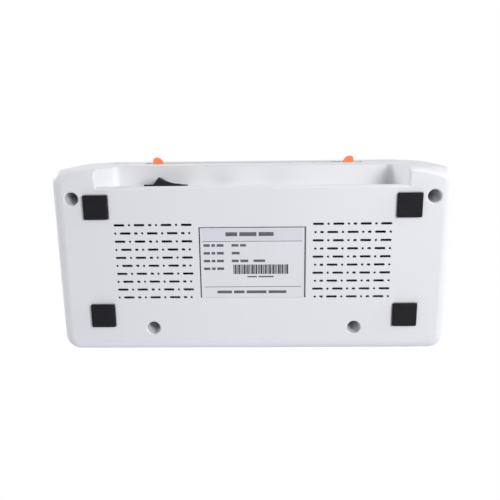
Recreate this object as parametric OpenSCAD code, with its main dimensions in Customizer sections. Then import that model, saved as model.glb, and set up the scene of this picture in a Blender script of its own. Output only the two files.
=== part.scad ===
// Desktop label printer: white case on rubber feet, hinged lid, rear paper inlet, front paper exit.
// Millimetres. X to the right, -Y towards the front, Z up, origin under the middle of the body.

/* [Body] */
// Width of the body
body_w = 206.4; // [196:0.2:220]
// Depth of the body
body_d = 99.2; // [97:0.2:110]
// Height of the body with its feet
body_h = 88; // [86:1:100]
// Wall thickness of the case and the lid
wall = 2.2; // [1.8:0.1:2.6]
// Radius of the upright front corners
front_corner_r = 8.5; // [7.5:0.5:14]
// Radius of the upright rear corners
rear_corner_r = 7; // [7:0.5:14]
// Radius of the bottom edge
edge_r = 6; // [4:0.5:7]
// Radius of the bottom edge along the rear, between the corners
rear_edge_r = 2.5; // [2:0.5:6]
// Radius of the shoulders of the lid
top_r = 18; // [14:0.5:20]
// Forward lean of the rear face, degrees
rear_lean = 4.5; // [3.5:0.5:6]
// Backward lean of the front face, degrees
front_lean = 3; // [1:0.5:4]

/* [Seam and hinge] */
// Height of the seam along the front and the sides
seam_z = 50; // [49:0.5:52]
// Rise of the seam behind the hinge towers
seam_step = 5; // [4:0.5:6]
// Gap between the case and the lid along the seam
seam_gap = 0.6; // [0.4:0.1:1]
// Distance from the rear face to the hinge axis
hinge_inset = 3.6; // [3.5:0.1:4.2]
// Diameter of the hinge knuckles
knuckle_d = 6.8; // [6:0.2:7]
// Width of one knuckle on the case
knuckle_w = 6; // [5:0.5:7]
// Width of the knuckle on the lid
lid_knuckle_w = 9.4; // [8:0.2:10]
// Diameter of the hinge pins
hinge_pin_d = 3; // [2:0.1:3.4]

/* [Feet and screws] */
// Side of a square foot
foot_w = 12.7; // [10:0.1:15]
// Thickness of a foot
foot_t = 2.2; // [1.8:0.1:3]
// Depth of the pocket that holds a foot
foot_pocket = 0.4; // [0.3:0.1:0.8]
// Distance from the side of the body to the middle of a foot
foot_inset_x = 22.8; // [20:0.1:26]
// Distance from the rear of the body to the middle of a rear foot
foot_inset_rear = 19.1; // [18.4:0.1:21]
// Distance from the front of the body to the middle of a front foot
foot_inset_front = 20.9; // [20:0.1:24]
// Diameter of the counterbores of the case screws
counterbore_d = 6.9; // [6.4:0.1:7.4]
// Distance from the side of the body to a rear case screw
screw_inset_x = 10.4; // [9.8:0.1:11]
// Distance from the rear of the body to a rear case screw
screw_inset_rear = 14.8; // [14.4:0.1:16]
// Distance between the two front case screws
screw_span_front = 107.5; // [106:0.5:108]
// Distance from the front of the body to a front case screw
screw_inset_front = 13.5; // [13:0.25:15]

/* [Vents and rating plate] */
// Number of slot rows in a vent field
vent_rows = 10; // [6:1:11]
// Distance between slot rows
vent_pitch = 4.39; // [3.5:0.01:4.6]
// Width of a slot
vent_slot_w = 1.25; // [0.8:0.05:1.4]
// Length of a long slot
vent_long = 5.7; // [4:0.1:6]
// Length of a short slot
vent_short = 1.9; // [1.5:0.1:2.4]
// Gap between two slots of a row
vent_gap = 1.74; // [1.4:0.02:2]
// Thickness of the case floor in a vent field
vent_skin = 1; // [0.8:0.1:1.6]
// Distance from the side of the body to a vent field
vent_inset = 31.3; // [31:0.1:34]
// Width of the rating plate
plate_w = 55.4; // [40:0.1:58]
// Depth of the rating plate
plate_d = 38.3; // [30:0.1:42]
// Thickness of the rating plate
plate_t = 0.2; // [0.1:0.05:0.4]

/* [Rear recess] */
// Width of the connector recess at the bottom
recess_w = 159.6; // [150:0.2:162]
// Depth of the connector recess at the bottom
recess_d = 8.4; // [7.6:0.1:9.6]
// Height of the connector recess
recess_h = 22; // [21.6:0.1:24]
// Slope of the end walls of the recess, degrees
recess_flare = 14; // [6:1:18]
// Radius between the end walls and the roof of the recess
recess_r = 4; // [3:0.5:9]
// Forward lean of the inner wall of the recess, degrees
recess_lean = 10; // [8:0.5:11]
// Radius of the bottom edge of the recess
recess_rim = 1.6; // [0.8:0.1:1.8]

/* [Switch and sockets] */
// Distance of the switch from the middle of the body
switch_x = 45; // [44:0.1:48]
// Width of the switch bezel
bezel_w = 21; // [20:0.1:22]
// Height of the switch bezel
bezel_h = 15; // [14:0.1:15.6]
// Thickness of the switch bezel
bezel_t = 0.9; // [0.8:0.1:2]
// Tilt of the rocker from its middle, degrees
rocker_tilt = 18; // [14:1:18]
// Place of the power socket along the recess
power_x = 16; // [12:0.5:20]
// Place of the data socket along the recess
usb_x = -14; // [-24:0.5:-8]

/* [Paper path] */
// Widest paper that the guides take
paper_max_w = 118; // [114:0.5:119]
// Paper width at which the guides stand
paper_w = 110.3; // [100:0.1:112]
// Depth of the paper deck below the seam
deck_drop = 3; // [2.6:0.1:3.4]
// Thickness of the deck
deck_t = 2.5; // [2:0.1:3]
// Height of the paper inlet above the deck
inlet_h = 11.6; // [11:0.1:12.4]
// Width of the paper exit
exit_w = 114; // [112:1:116]
// Height of the paper exit above the deck
exit_h = 6.5; // [6:0.1:7]
// Wall thickness of a paper guide
guide_wall = 2.2; // [1.6:0.1:2.4]
// Reach of a paper guide behind the rear face at the deck
guide_reach = 3.5; // [2:0.1:4]

/* [Platen and drive] */
// Diameter of the platen roller
platen_d = 16; // [15.6:0.1:16.4]
// Length of the platen rubber
platen_l = 110; // [108:1:112]
// Diameter of the platen shaft
shaft_d = 6; // [5:0.2:6.4]
// Distance from the front of the body to the platen axis
platen_inset = 15.2; // [15:0.1:16]
// Gear module
gear_m = 0.8; // [0.76:0.01:0.82]
// Width of a gear
gear_w = 3.2; // [2.4:0.1:3.4]
// Side of the square motor body
motor_w = 35.2; // [32:0.1:35.4]
// Length of the motor body
motor_l = 26; // [20:0.5:28]

/* [Lid fittings] */
// Diameter of the feed button
button_d = 12.8; // [10:0.1:13.4]
// Travel of the feed button
button_travel = 1; // [0.8:0.1:1.2]
// Length of a release button
release_l = 20; // [16:0.5:24]
// Height of a release button
release_h = 9; // [7:0.5:10]
// Travel of a release button
release_travel = 2.5; // [2:0.1:2.8]

/* [Hidden] */
$fn = 48;
round_fn = 32;
eps = 0.01;

// Clearances
fit = 0.3;
run = 0.06;
seat = 0.02;

// Colours
white_c = [0.9, 0.9, 0.91];
dark_c = [0.2, 0.2, 0.22];
black_c = [0.08, 0.08, 0.08];
orange_c = [1, 0.42, 0.2];
steel_c = [0.72, 0.73, 0.75];
nylon_c = [0.88, 0.86, 0.8];
board_c = [0.1, 0.35, 0.2];

// Body
half_w = body_w / 2;
half_d = body_d / 2;
plate_z = foot_t - foot_pocket;
floor_z = plate_z + wall;
low_z = plate_z + edge_r;
high_z = body_h - top_r;
shoulder_z = seam_z + 2;
rear_edge_x = recess_w / 2 + 4;
least_round = 0.3;
rear_top_y = half_d - edge_r - (high_z - low_z) * tan(rear_lean) - (top_r - edge_r) / cos(rear_lean);
front_top_y = (high_z - low_z) * tan(front_lean) + (top_r - edge_r) / cos(front_lean) + edge_r - half_d;
function rear_y(z) = half_d - edge_r + edge_r / cos(rear_lean) - (z - low_z) * tan(rear_lean);
function front_y(z) = edge_r - half_d - edge_r / cos(front_lean) + (z - low_z) * tan(front_lean);

// Hinge
hinge_z = seam_z;
hinge_y = rear_y(seam_z) - hinge_inset;
knuckle_r = knuckle_d / 2;
rear_seam_z = seam_z + seam_step;
seam_swing_r = norm([rear_y(rear_seam_z) - hinge_y, seam_step]);
lid_rear_z = hinge_z + seam_swing_r + 0.4;

// Paper path
deck_z = seam_z - deck_drop;
deck_under = deck_z - deck_t;
deck_half = paper_max_w / 2 + guide_wall + 0.8;
inlet_half = deck_half + 1;
inlet_top = deck_z + inlet_h;
exit_top = deck_z + exit_h;
shelf_z = seam_z - seam_gap;
shelf_t = 2;
lip_t = 1.2;
lip_rise = 1.8;

// Hinge towers stand outside the paper inlet
knuckle_x0 = inlet_half + 3;
lid_knuckle_x0 = knuckle_x0 + knuckle_w + fit;
knuckle_x1 = lid_knuckle_x0 + lid_knuckle_w + fit;

// Platen and print head
platen_rise = 1;
platen_r = platen_d / 2;
platen_y = platen_inset - half_d;
platen_z = deck_z + platen_rise - platen_r;
cheek_t = 4;
cheek_x0 = paper_max_w / 2 + 0.4;
cheek_x1 = cheek_x0 + cheek_t;
bush_r = shaft_d / 2 + 2;
head_z = deck_z + platen_rise + fit;
head_t = 1;
carrier_t = 3.7;
carrier_half = deck_half - 6;
carrier_top = head_z + head_t + carrier_t;
pivot_r = 1.5;
pivot_y = platen_y + 19.3;
pivot_z = carrier_top + 2.5;

// Lid frame
frame_z = carrier_top + 7;
frame_t = 2;
head_spring_x = 28;
head_spring_r = 3.6;
head_spring_wall = 0.9;

// Gear train: platen gear, idler pair, motor pinion
teeth_platen = 18;
teeth_small = 14;
teeth_large = 30;
teeth_motor = 12;
idler_angle = -35;
motor_angle = -25;
gear_plate_t = 1.2;
gear_x0 = cheek_x1 + gear_plate_t + 0.5;
gear_x1 = gear_x0 + gear_w + 0.4;
gear_x2 = gear_x1 + gear_w;
idler_gap = gear_m * (teeth_platen + teeth_small) / 2;
motor_gap = gear_m * (teeth_large + teeth_motor) / 2;
idler_y = platen_y + idler_gap * cos(idler_angle);
idler_z = platen_z + idler_gap * sin(idler_angle);
motor_y = idler_y + motor_gap * cos(motor_angle);
motor_z = idler_z + motor_gap * sin(motor_angle);
stud_r = 2;
motor_shaft_r = 2;
motor_bolt = 13;
motor_boss_r = 11;

// Paper guides and their pinion
pressure = 25;
guide_teeth = 10;
guide_pitch_r = gear_m * guide_teeth / 2;
guide_pitch = PI * gear_m;
addendum = 0.8 * gear_m;
dedendum = 1.05 * gear_m;
backlash = 0.12;
rack_t = 3;
rack_h = 4;
rack_top = deck_under - fit;
rack_bottom = rack_top - rack_h;
pinion_y = rear_y(rack_top) - wall - 12;
guide_out_x = paper_w / 2 + guide_wall;
guide_lip_w = 6.1;
guide_lip_t = 1.5;
guide_lip_z = deck_z + 0.2;
guide_tip_y = rear_y(guide_lip_z) + guide_reach;
guide_front_y = pinion_y - 11;
guide_top_z = deck_z + 8.5;
guide_in = 42;
guide_out = (paper_max_w - paper_w) / 2;
keeper_t = 1.5;
keeper_z = rack_bottom - fit - keeper_t;
keeper_half_x = 18;
keeper_screw_x = 12;
keeper_post_r = 2.5;
pinion_pin_r = 1.5;

// Middle lines of the vents and of the rating plate
vent_y = 1.1;
plate_y = 0.3;

// Small screws, with the holes that hold them and the holes that let them through
small_r = 0.95;
small_head_r = 2;
small_head_h = 1.2;
small_hold_r = small_r + 0.05;
small_pass_r = small_r + 0.25;

// Lid screws
lid_screw_r = 1.25;
lid_screw_head_r = 2.6;
lid_screw_head_h = 1.6;
lid_screw_l = 12;

// Case screws and bosses
screw_r = 1.45;
screw_head_r = 2.8;
screw_head_h = 2;
screw_grip = 5;
boss_top = 24;
bore_top = 20;
counterbore_edge = 0.5;
boss_r = counterbore_d / 2 + 1.75;
leg_r = 4;
rear_screw = [half_w - screw_inset_x, half_d - screw_inset_rear];
front_screw = [screw_span_front / 2, screw_inset_front - half_d];
case_screws_at = [for (s = [-1, 1]) for (p = [rear_screw, front_screw]) [s * p[0], p[1]]];
leg_top = platen_z - platen_r - 1.5;

// Recess
recess_y = half_d - recess_d;
recess_top = plate_z + recess_h;

// Main board
board_z = 8.8;
board_t = 1.6;
board_top = board_z + board_t;
board_x = [-62, 34];
board_post_r = 3;
board_screw_l = 3.5;
power_size = [9, 14.5, 11];
usb_size = [12, 16, 11];
socket_wall = 0.3;
socket_y = recess_y - (board_top + usb_size[2] - plate_z) * tan(recess_lean) - 0.15;
socket_proud = 1.8;
board_y = [-27.7, socket_y - socket_proud];
board_hole_in = 4;
board_holes = [for (x = [board_x[0] + board_hole_in, board_x[1] - board_hole_in])
    for (y = [board_y[0] + board_hole_in, board_y[1] - 2 * board_hole_in]) [x, y]];

// Switch
switch_z = plate_z + recess_h / 2 + 0.4;
switch_y = recess_y - (switch_z - plate_z) * tan(recess_lean);
switch_body_w = bezel_w - 2.4;
switch_body_h = bezel_h - 2.4;
switch_depth = 13;
rocker_half = switch_body_w / 2 - 1.6;
rocker_w = switch_body_h - 2.6;
rocker_pin_r = 1.2;
rocker_pin_in = 3;

// Release buttons
release_y = -6.7;
release_z = seam_z - 10;
release_out = 1.2;
flange_t = 1.6;
flange_x = half_w - wall - fit;
latch_w = 10;
latch_t = 2.5;
latch_x = half_w - 8;
latch_nose = 2;
latch_z = seam_z + 4;
latch_top = latch_z + 2.5;
catch_h = 2.4;
catch_w = 8;
spring_x = half_w - 15.5;
spring_z = release_z - 2;
spring_r = 3;
spring_wall = 0.8;

// Feed button
button_x = half_w - 31.2;
button_y = front_top_y + 7.6;
button_proud = 0.6;
button_flange = 1.6;
button_z = body_h - wall - fit - 1.5;
light_x = button_x - 12;
light_r = 1.8;
panel_z = button_z - 6;
panel_t = 1.6;
panel_screws_x = [button_x - 19.5, button_x + 12];
lid_post_x = half_w - 25.2;
lid_post_y = [front_top_y - 3.4, rear_top_y - 10];
lid_post_r = 3.5;
lid_posts_at = [for (x = [-lid_post_x, lid_post_x]) for (y = lid_post_y) [x, y]];

// Gap sensor and its receiver
sensor_x = 24;
sensor_y = pivot_y + 6.4;
sensor_eye = [6, 4];
sensor_size = [12, 8, 3];
receiver_size = [8, 6];
receiver_lift = 4;

// Points of an arc from angle a0 to angle a1
function arc(cx, cy, r, a0, a1, n = 6) = [for (i = [0:n]) let (a = a0 + (a1 - a0) * i / n)
    [cx + r * cos(a), cy + r * sin(a)]];

// Extrudes a Y-Z outline from x0 to x1
module along_x(x0, x1) {
    translate([x0, 0, 0]) rotate([90, 0, 90]) linear_extrude(x1 - x0) children();
}

// Extrudes an X-Z outline from y0 to y1
module along_y(y0, y1) {
    translate([0, y1, 0]) rotate([90, 0, 0]) linear_extrude(y1 - y0) children();
}

// Box between two corners
module box(a, b) {
    translate(a) cube(b - a);
}

// Box on one side, mirrored to the other when s is -1
module side_box(s, x, y, z) {
    mirror([s < 0 ? 1 : 0, 0, 0]) box([x[0], y[0], z[0]], [x[1], y[1], z[1]]);
}

// Cylinder along X
module rod_x(x0, x1, y, z, r) {
    translate([x0, y, z]) rotate([0, 90, 0]) cylinder(h = x1 - x0, r = r);
}

// Cylinder along Y
module rod_y(x, y0, y1, z, r) {
    translate([x, y0, z]) rotate([-90, 0, 0]) cylinder(h = y1 - y0, r = r);
}

// Cylinder along Z
module rod_z(x, y, z0, z1, r) {
    translate([x, y, z0]) cylinder(h = z1 - z0, r = r);
}

// Ball with its poles and equator on the true radius
module ball(r) {
    rotate_extrude($fn = round_fn)
        intersection() {
            circle(r = r, $fn = round_fn);
            translate([0, -r]) square([r, 2 * r]);
        }
}

// Round of the bottom edge about one upright corner; an inset leaves at least a small round
module edge_ring(x, y, r, edge, inset) {
    e = max(edge - inset, least_round);
    out = r - inset;
    translate([x, y, plate_z + inset + e])
        rotate_extrude($fn = round_fn)
            intersection() {
                translate([out - e, 0]) circle(r = e, $fn = round_fn);
                translate([0, -e]) square([out, 2 * e]);
            }
}

// Whole body, shrunk all round by inset
module body_form(inset) {
    r = rear_corner_r;
    rear_edge_y = rear_y(plate_z + rear_edge_r) - rear_edge_r / cos(rear_lean) + rear_edge_r - r;
    hull()
        for (s = [-1, 1]) {
            edge_ring(s * (half_w - front_corner_r), front_corner_r - half_d, front_corner_r, edge_r,
                inset);
            edge_ring(s * (half_w - r), half_d - r, r, edge_r, inset);
            edge_ring(s * rear_edge_x, rear_edge_y, r, rear_edge_r, inset);
            translate([s * (half_w - r), rear_y(shoulder_z) - r / cos(rear_lean), shoulder_z])
                ball(r - inset);
            translate([s * (half_w - top_r), front_top_y, high_z]) ball(top_r - inset);
            translate([s * (half_w - top_r), rear_top_y, high_z]) ball(top_r - inset);
        }
}

// Side outline of the seam: low along the front and sides, higher at the hinge
function seam_line(front, rear) = [[-body_d, front], [hinge_y - 22, front], [hinge_y - 6, rear],
    [body_d, rear]];

module below_seam() {
    along_x(-body_w, body_w)
        polygon(concat([[body_d, -1], [-body_d, -1]], seam_line(seam_z, rear_seam_z)));
}

module above_seam() {
    along_x(-body_w, body_w)
        polygon(concat([[body_d, 2 * body_h], [-body_d, 2 * body_h]],
            seam_line(seam_z + seam_gap, lid_rear_z)));
}

// Hollow of the connector recess, grown by g
module recess(g) {
    top = recess_top + g;
    bottom = plate_z - 1;
    r = recess_r + g;
    corner_z = top - r;
    rim_z = plate_z + recess_rim;
    foot_x = recess_w / 2 + g / cos(recess_flare);
    corner_x = foot_x - (corner_z - plate_z) * tan(recess_flare) - r / cos(recess_flare);
    rim_x = foot_x + recess_rim * (1 - sin(recess_flare)) / cos(recess_flare);
    right = concat(arc(rim_x, rim_z, recess_rim, 270, 180 + recess_flare),
        arc(corner_x, corner_z, r, recess_flare, 90));
    left = [for (i = [len(right) - 1:-1:0]) [-right[i][0], right[i][1]]];
    wall_y = recess_y - g / cos(recess_lean);
    rim_y = wall_y - recess_rim * (1 + sin(recess_lean)) / cos(recess_lean);
    intersection() {
        along_y(0, body_d) polygon(concat([[-rim_x, bottom], [rim_x, bottom]], right, left));
        along_x(-half_w, half_w)
            polygon(concat([[rim_y, bottom], [body_d, bottom], [body_d, top],
                [wall_y - (top - plate_z) * tan(recess_lean), top]],
                arc(rim_y, rim_z, recess_rim, 360 + recess_lean, 270)));
    }
}

// Slot with round ends, standing along X
module slot_2d(x, y, l) {
    r = vent_slot_w / 2;
    half = max(l / 2 - r, 0);
    if (half > 0) translate([x, y]) square([2 * half, vent_slot_w], center = true);
    for (s = half > 0 ? [-1, 1] : [0]) translate([x + s * half, y]) circle(r = r, $fn = 24);
}

// One vent field: each row repeats the same five slots, and every other row starts one slot later
vent_slots = [vent_long, vent_slot_w, vent_long, vent_short, vent_slot_w];
vent_count = 8;
function vent_len(start, i) = vent_slots[(start + i) % len(vent_slots)];
function vent_run(start, i) = i == 0 ? 0 : vent_run(start, i - 1) + vent_len(start, i - 1) + vent_gap;

module vent_field() {
    for (row = [0:vent_rows - 1]) {
        start = row % 2;
        y = vent_y + (vent_rows - 1) * vent_pitch / 2 - row * vent_pitch;
        for (i = [0:vent_count - 1 + start]) {
            l = vent_len(start, i);
            slot_2d(half_w - vent_inset - vent_run(start, i) - l / 2, y, l);
        }
    }
}

// Hollow over a vent field, where the floor is thin
module vent_pocket() {
    x1 = half_w - vent_inset;
    x0 = x1 - vent_run(0, vent_count - 1) - vent_len(0, vent_count - 1);
    y = (vent_rows - 1) * vent_pitch / 2 + vent_slot_w;
    edge = 0.6;
    box([x0 - edge, vent_y - y - edge, plate_z + vent_skin], [x1 + edge, vent_y + y + edge, floor_z + 1]);
}

module at_feet() {
    for (s = [-1, 1])
        for (y = [half_d - foot_inset_rear, foot_inset_front - half_d])
            translate([s * (half_w - foot_inset_x), y, 0]) children();
}

module at_switch() {
    translate([switch_x, switch_y, switch_z]) rotate([recess_lean, 0, 0]) children();
}

module bottom_case() {
    color(white_c)
        difference() {
            union() {
                difference() {
                    intersection() {
                        body_form(0);
                        below_seam();
                    }
                    body_form(wall);
                    for (s = [0, 1]) mirror([s, 0, 0]) vent_pocket();
                }
                intersection() {
                    body_form(0);
                    recess(wall);
                }
                for (p = case_screws_at) rod_z(p[0], p[1], floor_z - wall / 2, boss_top, boss_r);
                for (p = board_holes) rod_z(p[0], p[1], floor_z - wall / 2, board_z, board_post_r);
                for (s = [-1, 1])
                    for (x = [knuckle_x0, knuckle_x1])
                        mirror([s < 0 ? 1 : 0, 0, 0]) rod_x(x, x + knuckle_w, hinge_y, hinge_z, knuckle_r);
            }
            recess(0);
            for (s = [0, 1])
                mirror([s, 0, 0]) translate([0, 0, plate_z - 1]) linear_extrude(wall + 2) vent_field();
            at_feet() translate([-foot_w / 2 - fit / 2, -foot_w / 2 - fit / 2, 0])
                cube([foot_w + fit, foot_w + fit, foot_t]);
            box([-plate_w / 2 - fit / 2, plate_y - plate_d / 2 - fit / 2, 0],
                [plate_w / 2 + fit / 2, plate_y + plate_d / 2 + fit / 2, plate_z + plate_t + 0.05]);
            for (p = case_screws_at) {
                rod_z(p[0], p[1], 0, bore_top, counterbore_d / 2);
                translate([p[0], p[1], plate_z])
                    cylinder(h = counterbore_edge, r1 = counterbore_d / 2 + counterbore_edge,
                        r2 = counterbore_d / 2);
                rod_z(p[0], p[1], 0, boss_top + 1, screw_r + 0.15);
            }
            for (p = board_holes)
                rod_z(p[0], p[1], board_z - board_screw_l - 0.5, board_z + 1, small_hold_r);
            for (s = [-1, 1]) {
                mirror([s < 0 ? 1 : 0, 0, 0])
                    rod_x(knuckle_x0 - 1, knuckle_x1 + knuckle_w + 1, hinge_y, hinge_z,
                        hinge_pin_d / 2 + seat);
                side_box(s, [knuckle_x0 + knuckle_w, knuckle_x1], [hinge_y - knuckle_r - 1, body_d],
                    [hinge_z - knuckle_r - 0.6, body_h]);
                side_box(s, [half_w - 2 * wall, half_w + 1],
                    [release_y - release_l / 2 - fit, release_y + release_l / 2 + fit],
                    [release_z - release_h / 2 - fit, release_z + release_h / 2 + fit]);
            }
            box([-inlet_half, hinge_y - 6, deck_z - 0.2], [inlet_half, body_d, body_h]);
            box([-exit_w / 2, -body_d, deck_z], [exit_w / 2, 0, body_h]);
            at_switch() cube([switch_body_w + fit, 4 * wall, switch_body_h + fit], center = true);
            socket_hole(power_x, power_size);
            socket_hole(usb_x, usb_size);
        }
}

// Hole in the inner wall of the recess for a socket that stands on the main board
module socket_hole(x, size) {
    box([x - size[0] / 2 - socket_wall, board_y[1] - 3, board_top - socket_wall],
        [x + size[0] / 2 + socket_wall, recess_y + 1, board_top + size[2] + socket_wall]);
}

module rating_plate() {
    color([0.75, 0.76, 0.78]) translate([-plate_w / 2, plate_y - plate_d / 2, plate_z + 0.05])
        cube([plate_w, plate_d, plate_t]);
}

module rubber_feet() {
    color(black_c) at_feet() translate([-foot_w / 2, -foot_w / 2, 0]) cube([foot_w, foot_w, foot_t]);
}

// Pan-head screw that points up, with its head under z
module screw_up(x, y, z, r, head_r, head_h, l) {
    rod_z(x, y, z - head_h, z, head_r);
    rod_z(x, y, z - eps, z + l, r);
}

module case_screws() {
    color(steel_c)
        for (p = case_screws_at)
            screw_up(p[0], p[1], bore_top, screw_r, screw_head_r, screw_head_h,
                boss_top - bore_top + screw_grip);
}

module main_board() {
    color(board_c)
        difference() {
            box([board_x[0], board_y[0], board_z], [board_x[1], board_y[1], board_top]);
            for (p = board_holes) rod_z(p[0], p[1], board_z - 1, board_top + 1, small_pass_r);
        }
}

// Block on the main board, placed from its front left corner
module board_block(x, y, size) {
    translate([board_x[0] + x, board_y[0] + y, board_top]) cube(size);
}

module board_components() {
    chip = [12, 12, 1.4];
    memory = [8, 6, 1.2];
    plug_row = [22, 5, 6];
    long_plug_row = [28, 5, 6];
    coil = [12, 10, 5];
    can_r = 4.5;
    can_h = 12;
    can_y = 36;
    color(black_c) {
        board_block(28, 16, chip);
        board_block(12, 18, memory);
        board_block(58, 4, plug_row);
        board_block(12, 4, long_plug_row);
        board_block(68, 28, coil);
        for (x = [18, 58]) rod_z(board_x[0] + x, board_y[0] + can_y, board_top, board_top + can_h, can_r);
    }
}

module board_screws() {
    color(steel_c)
        for (p = board_holes) {
            rod_z(p[0], p[1], board_top, board_top + small_head_h, small_head_r);
            rod_z(p[0], p[1], board_z - board_screw_l, board_top + eps, small_r);
        }
}

module usb_socket() {
    mouth = [usb_size[0] - 2.4, 9, usb_size[2] - 2.4];
    color(steel_c)
        translate([usb_x, socket_y, board_top]) {
            difference() {
                translate([-usb_size[0] / 2, -usb_size[1], 0]) cube(usb_size);
                translate([-mouth[0] / 2, -mouth[1], 1.2]) cube(mouth + [0, 1, 0]);
            }
            translate([-2.8, -mouth[1] - eps, usb_size[2] / 2 - 1.6]) cube([5.6, mouth[1] - 0.8, 3.2]);
        }
}

module power_socket() {
    axis_z = power_size[2] / 2;
    color(black_c)
        translate([power_x, socket_y, board_top]) {
            difference() {
                translate([-power_size[0] / 2, -power_size[1], 0]) cube(power_size);
                rod_y(0, -10, 1, axis_z, 3.1);
            }
            rod_y(0, -10 - eps, -0.8, axis_z, 1);
        }
}

module switch_body() {
    hollow_w = 2 * rocker_half + 2 * fit + 0.6;
    hollow_h = rocker_w + 2 * fit;
    color(black_c)
        at_switch()
            difference() {
                union() {
                    translate([-bezel_w / 2, 0, -bezel_h / 2]) cube([bezel_w, bezel_t, bezel_h]);
                    translate([-switch_body_w / 2, -switch_depth, -switch_body_h / 2])
                        cube([switch_body_w, switch_depth + eps, switch_body_h]);
                    for (x = [-5, 2])
                        translate([x, -switch_depth - 6, -2.4]) cube([0.8, 6 + eps, 4.8]);
                }
                translate([-hollow_w / 2, -8, -hollow_h / 2]) cube([hollow_w, 20, hollow_h]);
                rod_z(0, -rocker_pin_in, -switch_body_h / 2 + 0.4, switch_body_h / 2 - 0.4,
                    rocker_pin_r + run);
            }
}

// Rocker outline about its pin: dished top, sloping ends, round belly
module rocker_2d() {
    peak = [rocker_half - 2.2, rocker_pin_in + 3.35];
    dish = 1;
    dish_r = (peak[0] * peak[0] + dish * dish) / (2 * dish);
    dish_a = asin(peak[0] / dish_r);
    belly = 4;
    top = arc(0, peak[1] - dish + dish_r, dish_r, 270 + dish_a, 270 - dish_a, 10);
    polygon(concat([[rocker_half, 0]], top, [[-rocker_half, 0]], arc(0, 0, belly, 195, 345, 10)));
}

module switch_rocker() {
    color(black_c)
        at_switch()
            translate([0, -rocker_pin_in, 0]) {
                translate([0, 0, -rocker_w / 2]) linear_extrude(rocker_w) rotate(rocker_tilt) rocker_2d();
                rod_z(0, 0, -switch_body_h / 2 + 0.5, switch_body_h / 2 - 0.5, rocker_pin_r);
            }
}

module mid_frame() {
    shelf_rear = hinge_y - knuckle_r - 0.4;
    color(dark_c)
        difference() {
            union() {
                intersection() {
                    body_form(wall + fit);
                    union() {
                        for (s = [-1, 1]) {
                            side_box(s, [deck_half, half_w], [-half_d, shelf_rear],
                                [shelf_z - shelf_t, shelf_z]);
                            side_box(s, [deck_half, cheek_x1], [-half_d, half_d], [deck_under, shelf_z]);
                        }
                        box([-cheek_x1, platen_y + platen_r + 1, deck_under], [cheek_x1, half_d, deck_z]);
                        box([-cheek_x1, -half_d, deck_z - 4],
                            [cheek_x1, platen_y - platen_r - 0.7, deck_z - 0.4]);
                    }
                }
                intersection() {
                    difference() {
                        body_form(wall + fit);
                        body_form(wall + fit + lip_t);
                    }
                    translate([0, 0, lip_rise]) below_seam();
                    for (s = [-1, 1])
                        side_box(s, [cheek_x0, half_w], [-half_d, shelf_rear], [shelf_z - shelf_t, body_h]);
                }
                for (s = [-1, 1]) {
                    side_box(s, [cheek_x0, cheek_x1], [platen_y - platen_r - 2, platen_y + platen_r - 0.4],
                        [leg_top - 4.5, shelf_z]);
                    side_box(s, [front_screw[0], cheek_x1], [front_screw[1] - 2, front_screw[1] + 2],
                        [leg_top - 4.5, leg_top]);
                    rod_z(s * front_screw[0], front_screw[1], boss_top, leg_top, leg_r);
                    rod_z(s * rear_screw[0], rear_screw[1], boss_top, shelf_z - shelf_t + eps, leg_r);
                    side_box(s, [spring_x - 2.5, spring_x], [release_y - 4, release_y + 4],
                        [spring_z - 4, shelf_z - shelf_t + eps]);
                    mirror([s < 0 ? 1 : 0, 0, 0])
                        rod_x(spring_x - eps, spring_x + 2.5, release_y, spring_z,
                            spring_r - spring_wall - 0.4);
                    rod_z(s * keeper_screw_x, pinion_y, keeper_z + keeper_t, deck_under + eps,
                        keeper_post_r);
                }
                rod_z(0, pinion_y, keeper_z + keeper_t, deck_under + eps, pinion_pin_r);
            }
            rod_x(-half_w, half_w, platen_y, platen_z, bush_r + seat);
            for (s = [-1, 1]) {
                rod_z(s * front_screw[0], front_screw[1], 0, boss_top + screw_grip + 1, screw_r + 0.05);
                rod_z(s * rear_screw[0], rear_screw[1], 0, boss_top + screw_grip + 1, screw_r + 0.05);
                rod_z(s * keeper_screw_x, pinion_y, 0, deck_z - 1, small_hold_r);
                side_box(s, [latch_x - latch_t - release_travel - 0.5, latch_x + latch_nose + 0.7],
                    [release_y - latch_w / 2 - 0.6, release_y + latch_w / 2 + 0.6],
                    [shelf_z - shelf_t - 1, shelf_z + 1]);
                side_box(s, [latch_x + latch_nose, half_w],
                    [release_y - catch_w / 2 - 0.6, release_y + catch_w / 2 + 0.6], [shelf_z, body_h]);
                guide_slot(s);
            }
            box([cheek_x1, platen_y - platen_r - 2, 0],
                [gear_x2 + 1.5, gear_screws_at[1][0] + 2.6, shelf_z - 1.2]);
            for (p = gear_screws_at) rod_x(cheek_x1 - 7, cheek_x1 + 1, p[0], p[1], small_hold_r);
            translate([sensor_x, sensor_y, deck_under - 1])
                linear_extrude(deck_t + 2) square(sensor_eye, true);
        }
}

// Slot in the deck for the stem of one guide
module guide_slot(s) {
    y = rack_back(s);
    side_box(s, [guide_out_x - guide_lip_w - guide_in - 0.4, guide_out_x + guide_out + 0.4],
        [y - rack_t / 2 - fit, y + rack_t / 2 + fit], [deck_under - 1, deck_z + 1]);
}

module gap_sensor() {
    color(black_c)
        translate([sensor_x, sensor_y, deck_under]) {
            translate([0, 0, -eps])
                linear_extrude(deck_t - 0.1) square(sensor_eye - [2 * seat, 2 * seat], true);
            translate([-sensor_size[0] / 2, -sensor_size[1] / 2, -sensor_size[2]]) cube(sensor_size);
        }
}

module platen_shaft() {
    color(steel_c) rod_x(-cheek_x1 - 1, gear_x0 + gear_w, platen_y, platen_z, shaft_d / 2);
}

module platen_roller() {
    color(black_c)
        difference() {
            rod_x(-platen_l / 2, platen_l / 2, platen_y, platen_z, platen_r);
            rod_x(-platen_l, platen_l, platen_y, platen_z, shaft_d / 2);
        }
}

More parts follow.
